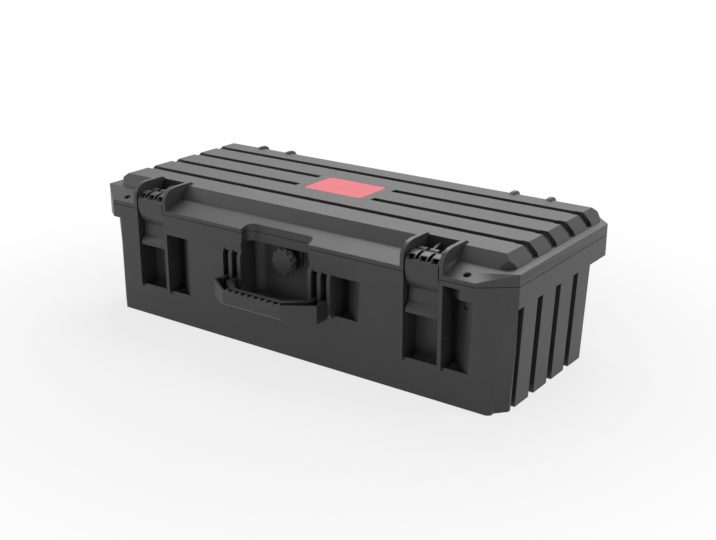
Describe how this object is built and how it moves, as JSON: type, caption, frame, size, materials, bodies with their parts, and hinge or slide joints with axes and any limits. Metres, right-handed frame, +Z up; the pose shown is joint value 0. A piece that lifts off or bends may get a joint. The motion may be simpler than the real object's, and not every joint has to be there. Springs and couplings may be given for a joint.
{
  "type": "hard tool case",
  "caption": "Long moulded hard case with ribbed hinged lid, draw latches, folding front handle, pressure valve and padlock holes.",
  "frame": {"origin": "on the floor plane, under the middle of the closed case's bounding box", "axes": "+X along the length, to the right seen from the front; -Y is the front with the latches and the handle; +Z is up"},
  "size_m": [0.56, 0.2956, 0.1615],
  "materials": {
    "shell": "fine moulded texture",
    "fittings": "satin moulded",
    "seal": "matte",
    "label": "satin",
    "pin": "ground",
    "membrane": "matte"
  },
  "bodies": {
    "base": {"base_shell": "shell", "hinge_pin_left": "pin", "hinge_pin_right": "pin", "handle_pin_left": "pin", "handle_pin_right": "pin", "valve_body": "fittings", "valve_seal_ring": "seal", "valve_lock_nut": "fittings", "valve_membrane": "membrane"},
    "lid": {"lid_shell": "shell", "lid_gasket": "seal", "label_plate": "label", "latch_pin_left": "pin", "latch_pin_right": "pin"},
    "latch_left": {"latch_left": "fittings"},
    "latch_right": {"latch_right": "fittings"},
    "handle": {"handle": "fittings"},
    "valve_knob": {"valve_knob": "fittings"}
  },
  "joints": [
    {"name": "lid_hinge", "type": "hinge", "parent": "base", "child": "lid", "pos_m": [0, 0.1423, 0.134], "axis": [-1, 0, 0], "range_deg": [0, 100]},
    {"name": "latch_left_hinge", "type": "hinge", "parent": "lid", "child": "latch_left", "pos_m": [-0.1856, -0.0807, 0.147], "axis": [-1, 0, 0], "range_deg": [0, 110]},
    {"name": "latch_right_hinge", "type": "hinge", "parent": "lid", "child": "latch_right", "pos_m": [0.1856, -0.0807, 0.147], "axis": [-1, 0, 0], "range_deg": [0, 110]},
    {"name": "handle_hinge", "type": "hinge", "parent": "base", "child": "handle", "pos_m": [0, -0.1037, 0.073], "axis": [-1, 0, 0], "range_deg": [0, 45]},
    {"name": "valve_knob_turn", "type": "hinge", "parent": "base", "child": "valve_knob", "pos_m": [0, -0.0887, 0.105], "axis": [0, -1, 0], "range_deg": [0, 180]}
  ]
}
